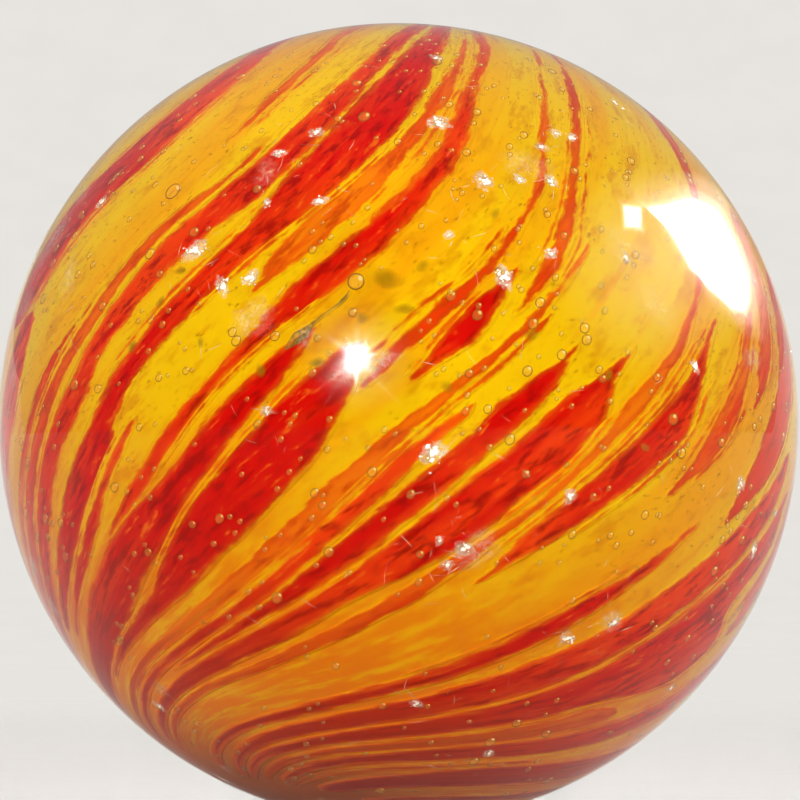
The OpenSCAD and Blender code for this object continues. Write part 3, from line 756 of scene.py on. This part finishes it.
def seed_skin():
    """The glass round a bubble: clear in the middle, with painted shade as a dark amber ring at a slant,
    and one painted glint.
    """
    material, tree, output = new_material("glass_round_a_seed")
    slant = add_node(tree, "ShaderNodeLayerWeight", None, {"Blend": 0.5}).outputs["Facing"]
    # Painted shade: the dark ring that a bubble in glass shows at its edge
    rim_share = add_node(
        tree, "ShaderNodeMapRange", {"interpolation_type": "SMOOTHSTEP"},
        {"Value": slant, "From Min": 0.28, "From Max": 0.68, "To Min": 0.12, "To Max": 0.82},
    )
    # Painted highlight: a glint where the skin faces one fixed way
    skin = add_node(tree, "ShaderNodeNewGeometry")
    lit = add_node(
        tree, "ShaderNodeVectorMath", {"operation": "DOT_PRODUCT"},
        {0: skin.outputs["Normal"], 1: PAINTED_GLINT_FROM},
    )
    spot = add_node(
        tree, "ShaderNodeMapRange", {"interpolation_type": "SMOOTHSTEP"},
        {"Value": lit.outputs["Value"], "From Min": 0.88, "From Max": 0.97, "To Max": 0.85},
    )
    # Only the near wall of the bubble has the painted glint
    painted_glint = add_node(
        tree, "ShaderNodeMath", {"operation": "MULTIPLY"},
        {0: spot.outputs[0], 1: skin.outputs["Backfacing"]},
    )
    layers = [(rim_share.outputs[0], 0, 1, 1, "#4C2A00"), (painted_glint.outputs[0], 0, 1, 1, "#FFE890")]
    colour = lay_colours(tree, hex_colour("#FFC850"), layers, "LINEAR")
    cover = add_node(
        tree, "ShaderNodeMath", {"operation": "MAXIMUM"}, {0: rim_share.outputs[0], 1: painted_glint.outputs[0]}
    )
    surface = add_node(
        tree, "ShaderNodeBsdfPrincipled", None,
        {"Base Color": colour, "Roughness": 0.4, "Specular IOR Level": 0.0, "Alpha": cover.outputs[0]},
    )
    tree.links.new(surface.outputs[0], output.inputs["Surface"])
    return material


seeds.data.materials.append(seed_skin())
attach(seeds, "root")

# The nicks' crushed glass
# Where the marble was knocked, the glass is crushed to a white grain in the nick. Each nick holds a cluster
# of crumbs let half into the clear surface, over a cloudy bruise just under it.
CRUMB_SHAPES = 4
random.seed(47)


def break_crumb(key):
    """One angular crumb of glass, 1 mm across."""
    bpy.ops.object.select_all(action="DESELECT")
    bpy.ops.mesh.primitive_ico_sphere_add(subdivisions=2, radius=0.5)
    crumb = bpy.context.active_object
    for vertex in crumb.data.vertices:
        vertex.co *= 1 + 0.7 * noise.noise(vertex.co * 3 + Vector((key * 7, 0, 0)))
    return take_apart(crumb)


def frame_at(centre):
    """Two directions along the ball's surface at a place on it, turned by chance."""
    side = centre.orthogonal().normalized()
    other = centre.cross(side)
    turn = random.uniform(0, 2 * math.pi)
    return side * math.cos(turn) + other * math.sin(turn), other * math.cos(turn) - side * math.sin(turn)


crumbs = [break_crumb(key) for key in range(CRUMB_SHAPES)]
copies = []
for centre, width in nick_places:
    long_side, short_side = frame_at(centre)
    slim = random.uniform(0.45, 0.9)
    for k in range(round(6 + 34 * width**1.5)):
        points, faces = random.choice(crumbs)
        reach = abs(random.gauss(0, 0.27)) * width
        angle = random.uniform(0, 2 * math.pi)
        off = long_side * reach * math.cos(angle) + short_side * reach * slim * math.sin(angle)
        place = (centre * BALL_R + off).normalized()
        across, along = frame_at(place)
        size = width * random.uniform(0.06, 0.2) * (1 - min(0.6, reach / width))
        axes = np.array([across * size * random.uniform(0.7, 1.4), along * size, place * size * 0.25])
        copies.append((np.array(place) * (BALL_R - NICK_DEPTH * 0.6) + points @ axes, faces))
flakes = put_together("crushed_crumbs", copies)


def crushed_glass():
    """Glass crushed to a sugary grain: white, and glinting where a crumb's face catches a lamp."""
    material, tree, output = new_material("crushed_glass")
    surface = add_node(
        tree, "ShaderNodeBsdfPrincipled", None,
        {"Base Color": hex_colour("#FFFAEA"), "Roughness": 0.4, "Specular IOR Level": 0.7},
    )
    tree.links.new(surface.outputs[0], output.inputs["Surface"])
    return material


flakes.data.materials.append(crushed_glass())
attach(flakes, "root")

# The bruises and the painted haze
# Under a nick the glass is full of tiny cracks, which cloud it. Where the marble rubbed against others it is
# scuffed the same way, in wider patches. Patches of the same cloudy glass at the rims and round the star and
# the window are painted reflection, a pale haze of mirrored light. Each is a thin lens of cloudy glass just
# under the surface.
LENS_UNDER = 0.05
LENS_THICKNESS = 0.01
# Scuffed patches and patches of painted haze: right, up, width and how cloudy, as seen from the front.
# Those at the rims and round the star and the window are painted haze of mirrored light; the others are
# scuffs.
SCUFFS_AND_PAINTED_HAZE = [
    (-8.6, 4.6, 2.2, 0.35), (-9.3, 2.9, 1.6, 0.3), (-9.6, 1.2, 1.2, 0.25), (-7.9, 5.7, 1.2, 0.3),
    (-9.75, -1.6, 1.1, 0.7), (-9.1, -3.6, 1.3, 0.65), (-8.6, -4.6, 0.9, 0.5), (-8.2, 3.6, 1.4, 0.25),
    (9.3, 2.8, 1.5, 0.3), (8.8, 1.6, 1.2, 0.3), (-4.3, -8.6, 0.7, 0.4), (-5.9, -6.6, 0.7, 0.3),
    (-0.95, 1.4, 2.0, 0.6), (-2.3, 2.15, 0.7, 0.25), (4.1, -5.3, 0.7, 0.5), (5.3, -4.9, 0.8, 0.5),
    (5.7, 4.3, 2.2, 0.12), (6.4, 2.9, 1.6, 0.12), (-3.6, 2.6, 1.3, 0.25), (-3.3, 6.2, 1.2, 0.2),
    (3.2, 6.4, 1.6, 0.15), (1.9, -3.1, 1.5, 0.25),
]


def lay_thin_lens(centre, width, cloud, under=LENS_UNDER, ragged_by=0.45, fade=1.6):
    """One thin lens, with a share at each point that fades to nothing at its rim: how cloudy a bruise or a
    patch of painted haze is, and how dark a painted seed shadow is.
    """
    bpy.ops.object.select_all(action="DESELECT")
    bpy.ops.mesh.primitive_circle_add(vertices=24, radius=1, fill_type="TRIFAN")
    thin_lens = bpy.context.active_object
    bpy.ops.object.mode_set(mode="EDIT")
    bpy.ops.mesh.select_all(action="SELECT")
    bpy.ops.mesh.subdivide(number_cuts=3)
    bpy.ops.object.mode_set(mode="OBJECT")
    long_side, short_side = frame_at(centre)
    slim = random.uniform(0.5, 0.85)
    key = random.uniform(0, 90)
    clouds = []
    for vertex in thin_lens.data.vertices:
        x, y = vertex.co.x, vertex.co.y
        ragged = 1 + ragged_by * noise.noise(Vector((x * 1.7 + key, y * 1.7, 0)))
        off = (long_side * x + short_side * y * slim) * ragged * width / 2
        clouds.append(cloud * (1 - min(1, x * x + y * y)) ** fade)
        vertex.co = behind_glass((centre * BALL_R + off).normalized(), BALL_R - under) * MM
    give_attribute(thin_lens.data, "cloud", "FLOAT", clouds)
    thicken(thin_lens, LENS_THICKNESS)
    return thin_lens


def cloudy_glass():
    """Finely cracked glass, also laid as painted haze: white where it is dense, and clear towards its rim.
    """
    material, tree, output = new_material("cracked_glass_and_painted_haze")
    cloud = add_node(tree, "ShaderNodeAttribute", {"attribute_name": "cloud"}).outputs["Fac"]
    place = add_node(tree, "ShaderNodeTexCoord").outputs["Object"]
    # Cracks about 0.1 mm apart
    cracks = drawn_grain(tree, place, 1, {"Scale": 11000, "Detail": 6, "Roughness": 0.8})
    grain = add_node(
        tree, "ShaderNodeMapRange", None, {"Value": cracks, "From Min": 0.42, "From Max": 0.62}
    )
    dense = add_node(
        tree, "ShaderNodeMath", {"operation": "MULTIPLY", "use_clamp": True},
        {0: cloud, 1: grain.outputs[0]},
    )
    # Browner in places, 0.2 mm across, where the cracks lie deeper
    depth = drawn_grain(tree, place, 1, {"Scale": 5000, "Detail": 4})
    colour = lay_colours(tree, hex_colour("#FFF6DE"), [(depth, 0.4, 0.6, 1, "#CFB896")], "LINEAR")
    surface = add_node(
        tree, "ShaderNodeBsdfPrincipled", None,
        {"Base Color": colour, "Roughness": 0.4, "Alpha": dense.outputs[0]},
    )
    tree.links.new(surface.outputs[0], output.inputs["Surface"])
    return material


bruises_and_haze = [lay_thin_lens(centre, width * 1.15, 1.3, fade=0.9) for centre, width in nick_places]
# Among these, the patches at the rims and round the star and the window are painted haze of mirrored light
bruises_and_haze += [lay_thin_lens(front_place(right, up), width, cloud) for right, up, width, cloud in SCUFFS_AND_PAINTED_HAZE]
bruises_and_haze = join_pieces(bruises_and_haze, "bruises_and_painted_haze")
face_outwards(bruises_and_haze)
bruises_and_haze.data.materials.append(cloudy_glass())
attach(bruises_and_haze, "root")

# The seeds' painted shadows
# Painted shadows of seeds on the yellow. Each is a lens as thin as a hair lying on the yellow, under the
# clear glass, which shows as a soft olive disc.
SEED_SHADOW_UNDER = 0.7
# Right, up, width and how dark each painted shadow is, as seen from the front
SEED_SHADOW_SPOTS = [
    (-0.28, 3.58, 0.8, 0.5), (0.14, 2.83, 0.6, 0.4), (-5.4, 3.78, 0.35, 0.45), (-5.9, 3.0, 0.4, 0.4),
    (-4.9, 2.0, 0.35, 0.35), (-2.0, 1.5, 0.5, 0.45), (-0.9, 2.6, 0.4, 0.35), (1.2, 0.9, 0.4, 0.3),
    (5.2, 1.2, 0.4, 0.4), (3.3, 2.2, 0.45, 0.3), (-3.4, 1.3, 0.4, 0.35), (0.6, 3.9, 0.45, 0.35),
    (6.1, -0.6, 0.4, 0.3), (-6.6, 1.9, 0.4, 0.4), (2.4, 5.2, 0.4, 0.3),
]


def seed_shadow_paint():
    """A painted seed shadow: olive over the yellow, and clear at its rim."""
    material, tree, output = new_material("painted_shadow_film")
    # Here the cloud value is how dark the painted shadow is
    cloud = add_node(tree, "ShaderNodeAttribute", {"attribute_name": "cloud"}).outputs["Fac"]
    place = add_node(tree, "ShaderNodeTexCoord").outputs["Object"]
    # Uneven at about 0.3 mm
    shadow_mottle = drawn_grain(tree, place, 1, {"Scale": 3000, "Detail": 1})
    colour = lay_colours(tree, hex_colour("#9A7600"), [(shadow_mottle, 0, 1, 1, "#C09600")], "LINEAR")
    surface = add_node(
        tree, "ShaderNodeBsdfPrincipled", None,
        {"Base Color": colour, "Roughness": 0.5, "Specular IOR Level": 0.0, "Alpha": cloud},
    )
    tree.links.new(surface.outputs[0], output.inputs["Surface"])
    return material


seed_shadow_lenses = [
    lay_thin_lens(front_place(right, up), width, shadow_strength, SEED_SHADOW_UNDER, 0.15)
    for right, up, width, shadow_strength in SEED_SHADOW_SPOTS
]
seed_shadow_lenses = join_pieces(seed_shadow_lenses, "painted_seed_shadows")
face_outwards(seed_shadow_lenses)
seed_shadow_lenses.data.materials.append(seed_shadow_paint())
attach(seed_shadow_lenses, "root")

# The crack
# One old crack runs slanting through the clear glass above the middle, from a seed down to a small opened
# flake. Its two walls don't touch, so it shows as a fine brown line with a darker edge.
# The crack's line as it shows from the front: right, up and half its width, in millimetres
CRACK = [
    (-1.2, 3.28, 0.01), (-1.32, 3.1, 0.03), (-1.5, 2.93, 0.025), (-1.72, 2.78, 0.015), (-1.95, 2.61, 0.02),
    (-2.08, 2.5, 0.03), (-2.2, 2.36, 0.07), (-2.34, 2.22, 0.13), (-2.5, 2.1, 0.15), (-2.64, 1.98, 0.09),
    (-2.8, 1.84, 0.02),
]
CRACK_UNDER = 0.18
CRACK_THICKNESS = 0.02


def crack_wall(line, under):
    """A thin upright leaf along a line, lying in the clear glass at a depth below its surface."""
    bpy.ops.object.select_all(action="DESELECT")
    bpy.ops.mesh.primitive_grid_add(x_subdivisions=2, y_subdivisions=len(line) - 1, size=2)
    leaf = bpy.context.active_object
    for vertex in leaf.data.vertices:
        k = round((vertex.co.y + 1) / 2 * (len(line) - 1))
        right, up, half = line[k]
        before, after = line[max(0, k - 1)], line[min(len(line) - 1, k + 1)]
        run = Vector((after[0] - before[0], after[1] - before[1])).normalized()
        off = vertex.co.x * half
        place = front_place(right - run.y * off, up + run.x * off)
        vertex.co = behind_glass(place, BALL_R - under) * MM
    thicken(leaf, CRACK_THICKNESS)
    return leaf


crack_edge = [(right + 0.035, up - 0.045, half * 0.45) for right, up, half in CRACK]
crack = [crack_wall(CRACK, CRACK_UNDER), crack_wall(crack_edge, CRACK_UNDER + 0.05)]
crack = join_pieces(crack, "old_crack")
face_outwards(crack)


def crack_glass():
    """The walls of a crack: brown and half clear, mottled where they touch."""
    material, tree, output = new_material("cracked_glass_walls")
    place = add_node(tree, "ShaderNodeTexCoord").outputs["Object"]
    # Mottled at about 0.1 mm
    mottle = drawn_grain(tree, place, 1, {"Scale": 7000, "Detail": 4})
    opened = add_node(
        tree, "ShaderNodeMapRange", None,
        {"Value": mottle, "From Min": 0.35, "From Max": 0.6, "To Min": 0.9, "To Max": 0.3},
    )
    colour = lay_colours(tree, hex_colour("#3A2400"), [(mottle, 0, 1, 1, "#C8A040")], "LINEAR")
    surface = add_node(
        tree, "ShaderNodeBsdfPrincipled", None,
        {"Base Color": colour, "Roughness": 0.3, "Specular IOR Level": 0.0, "Alpha": opened.outputs[0]},
    )
    tree.links.new(surface.outputs[0], output.inputs["Surface"])
    return material


crack.data.materials.append(crack_glass())
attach(crack, "root")

# The scratches
# Hair-fine scratches in the polished skin, most of them round the nicks, which catch the light as short
# bright lines. Each is a groove let in by a hundredth of a millimetre, made here as a fine closed sliver.
SCRATCHES = 550
SCRATCH_DEPTH = 0.008
random.seed(71)


def cut_sliver():
    """One sliver, 1 mm long, pointed at both ends."""
    bpy.ops.object.select_all(action="DESELECT")
    bpy.ops.mesh.primitive_cylinder_add(
        vertices=4, radius=0.5, depth=1, rotation=(0, math.radians(90), 0)
    )
    sliver = bpy.context.active_object
    bpy.ops.object.transform_apply(location=True, rotation=True, scale=True)
    bpy.ops.object.mode_set(mode="EDIT")
    bpy.ops.mesh.select_all(action="SELECT")
    bpy.ops.mesh.bisect(plane_co=(0, 0, 0), plane_no=(1, 0, 0))
    bpy.ops.mesh.select_all(action="SELECT")
    bpy.ops.mesh.quads_convert_to_tris()
    bpy.ops.object.mode_set(mode="OBJECT")
    for vertex in sliver.data.vertices:
        taper = 1 - 0.85 * abs(vertex.co.x) * 2
        vertex.co.y *= taper
        vertex.co.z *= taper
    return take_apart(sliver)


sliver_points, sliver_faces = cut_sliver()
copies = []
for k in range(SCRATCHES):
    if k % 3:
        centre, width = random.choice(nick_places)
        along, across = frame_at(centre)
        off = along * random.gauss(0, 0.6) + across * random.gauss(0, 0.6)
        place = (centre * BALL_R + off).normalized()
        length = random.uniform(0.12, 0.5)
    else:
        place = Vector([random.gauss(0, 1) for axis in range(3)]).normalized()
        length = random.uniform(0.2, 0.9)
    along, across = frame_at(place)
    width = random.uniform(0.008, 0.017)
    axes = np.array([along * length, across * width, place * SCRATCH_DEPTH])
    bow = np.outer((0.25 - sliver_points[:, 0] ** 2) * random.uniform(-0.3, 0.3) * length, across)
    spot = np.array(place) * BALL_R + sliver_points @ axes + bow
    spot *= BALL_R / np.linalg.norm(spot, axis=1)[:, None]
    spot += np.outer(sliver_points[:, 2] * SCRATCH_DEPTH, place)
    copies.append((spot, sliver_faces))
scratches = put_together("fine_scratches", copies)
face_outwards(scratches)


def scratched_glass():
    """The torn floor of a scratch: pale, half clear and brighter in places."""
    material, tree, output = new_material("scratched_glass")
    place = add_node(tree, "ShaderNodeTexCoord").outputs["Object"]
    # Brighter and fainter along a scratch, about every 0.3 mm
    broken = drawn_grain(tree, place, 1, {"Scale": 3000, "Detail": 1})
    shown = add_node(
        tree, "ShaderNodeMapRange", None,
        {"Value": broken, "From Min": 0.4, "From Max": 0.65, "To Min": 0.1, "To Max": 0.8},
    )
    surface = add_node(
        tree, "ShaderNodeBsdfPrincipled", None,
        {"Base Color": hex_colour("#FFDDB0"), "Roughness": 0.35, "Alpha": shown.outputs[0]},
    )
    tree.links.new(surface.outputs[0], output.inputs["Surface"])
    return material


scratches.data.materials.append(scratched_glass())
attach(scratches, "root")

# The floor
# A plain pale sweep of card: flat under the marble, and rising in a curve far behind it.
FLOOR_HALF = 400
FLOOR_RADIUS = 150
FLOOR_RISE = 50
bpy.ops.object.select_all(action="DESELECT")
bpy.ops.mesh.primitive_plane_add(size=2 * FLOOR_HALF * MM, location=(0, 0, -BALL_R * MM))
floor = bpy.context.active_object
floor.name = "pale_floor"
bpy.ops.object.transform_apply(location=True, rotation=True, scale=True)
bpy.ops.object.mode_set(mode="EDIT")
bpy.ops.mesh.select_all(action="DESELECT")
bpy.ops.object.mode_set(mode="OBJECT")
for edge in floor.data.edges:
    edge.select = all(floor.data.vertices[v].co.y > 0 for v in edge.vertices)
bpy.ops.object.mode_set(mode="EDIT")
bpy.ops.mesh.spin(
    steps=16, angle=math.radians(-FLOOR_RISE), axis=(1, 0, 0),
    center=(0, FLOOR_HALF * MM, (FLOOR_RADIUS - BALL_R) * MM),
)
bpy.ops.object.mode_set(mode="OBJECT")
smooth_all(floor)


def pale_card():
    """Matt pale card. Far behind the marble, the camera and the glass see it as pale as it is written."""
    material, tree, output = new_material("pale_card")
    grain = add_node(tree, "ShaderNodeTexCoord").outputs["Object"]
    # Paper fibre, 2 mm
    fibre = drawn_grain(tree, grain, 1, {"Scale": 500, "Detail": 4})
    colour = lay_colours(tree, hex_colour("#E4E1DC"), [(fibre, 0, 1, 1, "#EAE7E2")], "LINEAR")
    card = add_node(
        tree, "ShaderNodeBsdfPrincipled", None,
        {"Base Color": colour, "Roughness": 0.9, "Specular IOR Level": 0.1},
    )
    written = add_node(tree, "ShaderNodeEmission", None, {"Color": colour})
    path = add_node(tree, "ShaderNodeLightPath")
    seen = add_node(
        tree, "ShaderNodeMath", {"operation": "ADD"},
        {0: path.outputs["Is Camera Ray"], 1: path.outputs["Is Glossy Ray"]},
    )
    seen = add_node(
        tree, "ShaderNodeMath", {"operation": "ADD", "use_clamp": True},
        {0: seen.outputs[0], 1: path.outputs["Is Transmission Ray"]},
    )
    far_off = add_node(tree, "ShaderNodeSeparateXYZ", None, {0: grain})
    behind = add_node(
        tree, "ShaderNodeMapRange", {"interpolation_type": "SMOOTHSTEP"},
        {"Value": far_off.outputs[1], "From Min": 0.03, "From Max": 0.3},
    )
    share = add_node(
        tree, "ShaderNodeMath", {"operation": "MULTIPLY"}, {0: seen.outputs[0], 1: behind.outputs[0]}
    )
    surface = add_node(
        tree, "ShaderNodeMixShader", None, {0: share.outputs[0], 1: card.outputs[0], 2: written.outputs[0]}
    )
    tree.links.new(surface.outputs[0], output.inputs["Surface"])
    return material


floor.data.materials.append(pale_card())

# The light
# A pale room all round, a bright window behind on the right that the marble mirrors as a long white patch,
# and a small lamp beside the camera that it mirrors as a star.
world = bpy.data.worlds.new("pale_room")
bpy.context.scene.world = world
world.use_nodes = True
world.cycles.sampling_method = "NONE"
world.node_tree.nodes.clear()
room = add_node(
    world.node_tree, "ShaderNodeBackground", None, {"Color": hex_colour("#F4F5F7"), "Strength": 0.46}
)
add_node(world.node_tree, "ShaderNodeOutputWorld", None, {"Surface": room.outputs[0]})
LAMP_DISTANCE = 0.5


def hang_lamp(name, direction, size, level):
    """A large soft square lamp that faces the marble, and how brightly it lights a white card there."""
    bpy.ops.object.light_add(type="AREA")
    lamp = bpy.context.active_object
    lamp.name = name
    lamp.data.shape = "SQUARE"
    lamp.data.size = size
    lamp.data.energy = math.pi**2 * LAMP_DISTANCE**2 * level
    back = Vector(direction).normalized()
    lamp.location = back * LAMP_DISTANCE
    lamp.rotation_euler = back.to_track_quat("Z", "Y").to_euler()
    lamp.visible_camera = False
    lamp.visible_transmission = False
    # The marble doesn't mirror it
    lamp.visible_glossy = False


hang_lamp("key", (0.35, -0.65, 0.7), 0.4, 0.72)
hang_lamp("fill", (-0.75, -0.65, -0.1), 0.5, 1.15)
hang_lamp("right", (0.85, -0.6, 0.15), 0.35, 0.42)


def mirrored_from(right, up, distance):
    """Where a lamp has to hang to be mirrored, for the camera, at a place on the marble."""
    place = front_place(right, up)
    direction = Vector((0, 1, 0)) - 2 * place.y * place
    return place * BALL_R * MM + direction * distance


def hang_softbox(name, outline, rings, brightness, distance=LAMP_DISTANCE):
    """A lit screen with an outline in millimetres, as the marble mirrors it. Each ring is a growth of that
    outline and the share of the brightness there, from the middle out."""
    middle = Vector((sum(p[0] for p in outline), sum(p[1] for p in outline))) / len(outline)
    bpy.ops.object.select_all(action="DESELECT")
    bpy.ops.mesh.primitive_circle_add(vertices=len(outline), radius=1, fill_type="NOTHING")
    screen = bpy.context.active_object
    screen.name = name
    points = [middle.to_tuple()]
    shares = [rings[0][1]]
    for growth, share in rings:
        for right, up in outline:
            points.append((middle.x + (right - middle.x) * growth, middle.y + (up - middle.y) * growth))
            shares.append(share)
    count = len(outline)
    faces = [(0, 1 + k, 1 + (k + 1) % count) for k in range(count)]
    for ring in range(len(rings) - 1):
        inner, outer = 1 + ring * count, 1 + (ring + 1) * count
        for k in range(count):
            n = (k + 1) % count
            faces.append((inner + k, outer + k, outer + n))
            faces.append((inner + k, outer + n, inner + n))
    screen.data.clear_geometry()
    screen.data.from_pydata([mirrored_from(right, up, distance) for right, up in points], [], faces)
    give_attribute(screen.data, "glow", "FLOAT", shares)
    material, tree, output = new_material(name + "_screen")
    glow = add_node(tree, "ShaderNodeAttribute", {"attribute_name": "glow"}).outputs["Fac"]
    strength = add_node(tree, "ShaderNodeMath", {"operation": "MULTIPLY"}, {0: glow, 1: brightness})
    light = add_node(
        tree, "ShaderNodeEmission", None, {"Color": hex_colour("#FFFDF6"), "Strength": strength.outputs[0]}
    )
    through = add_node(tree, "ShaderNodeBsdfTransparent")
    both = add_node(tree, "ShaderNodeAddShader", None, {0: light.outputs[0], 1: through.outputs[0]})
    tree.links.new(both.outputs[0], output.inputs["Surface"])
    screen.data.materials.append(material)
    # It is there to be mirrored: it lights nothing and casts no shadow
    material.cycles.emission_sampling = "NONE"
    screen.visible_camera = False
    screen.visible_diffuse = False
    screen.visible_transmission = False
    screen.visible_shadow = False


WINDOW = [
    (6.12, 5.4), (6.7, 5.48), (7.3, 5.6), (7.95, 5.25), (8.36, 4.5), (8.7, 3.7), (8.74, 3.05), (8.64, 2.7),
    (8.3, 2.78), (7.76, 3.25), (7.24, 3.85), (6.92, 4.45), (6.62, 4.9),
]
WINDOW_PANE = [(5.62, 5.38), (6.02, 5.34), (6.04, 4.86), (5.66, 4.88)]
WINDOW_RINGS = [(0.8, 1), (0.92, 0.2), (0.98, 0.06), (1.06, 0.025), (1.25, 0.007), (1.5, 0)]
hang_softbox("window", WINDOW, WINDOW_RINGS, 150)
hang_softbox("window_pane", WINDOW_PANE, [(0.7, 1), (1.0, 0.2), (1.3, 0.04), (1.8, 0)], 120)


def round_outline(right, up, reach):
    """A circle as an outline for a softbox."""
    turns = [2 * math.pi * k / 32 for k in range(32)]
    return [(right + reach * math.cos(turn), up + reach * math.sin(turn)) for turn in turns]


# The bright haze that such lamps have round them, on a screen behind each
HAZE = [(0.2, 1), (0.4, 0.75), (0.6, 0.42), (0.8, 0.16), (0.9, 0.06), (1.0, 0)]
HAZE_DISTANCE = LAMP_DISTANCE * 1.3
hang_softbox("window_haze", round_outline(6.2, 3.8, 2.7), HAZE, 6, HAZE_DISTANCE)
# The star's middle as it shows from the front, and its corners, of which every other one is a point
STAR_AT = (-1.0, 1.62)
STAR_CORNERS = 28
random.seed(5)
star = []
for k in range(STAR_CORNERS):
    reach = 0.42 + (0.5 * random.random() if k % 2 else 0)
    angle = 2 * math.pi * k / STAR_CORNERS
    star.append((STAR_AT[0] + reach * math.cos(angle), STAR_AT[1] + reach * math.sin(angle)))
hang_softbox("star", star, [(0.5, 1), (0.7, 0.2), (0.9, 0.05), (1.2, 0.012), (1.6, 0)], 220)
hang_softbox("star_haze", round_outline(STAR_AT[0], STAR_AT[1], 1.5), HAZE, 8, HAZE_DISTANCE)
# Fine streaks of the same lamp, from the marks of handling on the glass
STAR_RAYS = [
    (-1.8, 0.5, 0.05), (0.15, 0.35, 0.05), (-0.2, 2.45, 0.04), (-1.95, 2.3, 0.04), (-1.55, 1.0, 0.07),
]
for count, (right, up, half) in enumerate(STAR_RAYS):
    run = Vector((right - STAR_AT[0], up - STAR_AT[1])).normalized()
    ray = [
        (STAR_AT[0] - run.y * half, STAR_AT[1] + run.x * half),
        (right, up),
        (STAR_AT[0] + run.y * half, STAR_AT[1] - run.x * half),
    ]
    rings = [(0.8, 1), (1.1, 0.4), (1.4, 0)]
    hang_softbox("star_ray_" + str(count), ray, rings, 10, LAMP_DISTANCE * 1.15)

# The camera
# A long macro lens level with the marble. The ball fills the frame, and its centre is a little low and left.
BALL_RADIUS_PX = 400
BALL_CENTRE_PX = (398.5, 423)
FRAME_PX = 800
CAMERA_DISTANCE = 700
px_per_mm = BALL_RADIUS_PX / BALL_R
aim_x = (FRAME_PX / 2 - BALL_CENTRE_PX[0]) / px_per_mm
aim_z = (BALL_CENTRE_PX[1] - FRAME_PX / 2) / px_per_mm
bpy.ops.object.camera_add(
    location=(aim_x * MM, -CAMERA_DISTANCE * MM, aim_z * MM), rotation=(math.radians(90), 0, 0)
)
camera = bpy.context.active_object
focal_px = BALL_RADIUS_PX * math.sqrt(CAMERA_DISTANCE**2 - BALL_R**2) / BALL_R
camera.data.angle = 2 * math.atan(FRAME_PX / 2 / focal_px)
camera.data.clip_start = 0.05
camera.data.clip_end = 20
bpy.context.scene.camera = camera

scene = bpy.context.scene
scene.view_settings.view_transform = "Standard"
